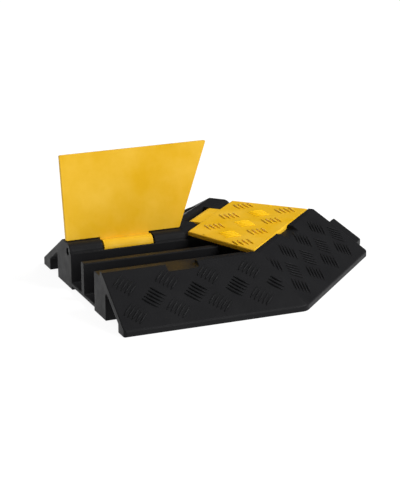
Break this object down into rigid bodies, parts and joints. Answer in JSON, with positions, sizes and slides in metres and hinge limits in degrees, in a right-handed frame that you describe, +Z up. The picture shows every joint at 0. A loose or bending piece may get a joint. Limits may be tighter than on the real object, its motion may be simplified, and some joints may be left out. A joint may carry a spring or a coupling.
{
  "type": "cable protector ramp bend",
  "caption": "Low rubber ramp element that turns through a bend, with cable channels side by side under hinged, mitred lids, sockets at one end and tabs at the other.",
  "frame": {"origin": "on the floor below the centre of the box around the part with its left lid open", "axes": "+X along the left arm towards the bend, +Z up, +Y towards the inside of the bend"},
  "size_m": [0.3366, 0.3168, 0.1335],
  "materials": {
    "black_rubber": "moulded vulcanised rubber, satin, lightly dusty",
    "yellow_plastic": "moulded signal-yellow polyvinyl lid, satin",
    "pin_steel": "plain zinc-plated steel rod"
  },
  "bodies": {
    "base": {"base": "black_rubber", "hinge_pin_left": "pin_steel", "hinge_pin_right": "pin_steel"},
    "lid_left": {"lid_left": "yellow_plastic"},
    "lid_right": {"lid_right": "yellow_plastic"}
  },
  "joints": [
    {"name": "lid_left_hinge", "type": "hinge", "parent": "base", "child": "lid_left", "pos_m": [-0.02633, 0.00751, 0.0376], "axis": [-1, 0, 0], "range_deg": [-100, 0]},
    {"name": "lid_right_hinge", "type": "hinge", "parent": "base", "child": "lid_right", "pos_m": [-0.05879, -0.00594, 0.0376], "axis": [-0.7071, -0.7071, 0], "range_deg": [0, 50]}
  ]
}
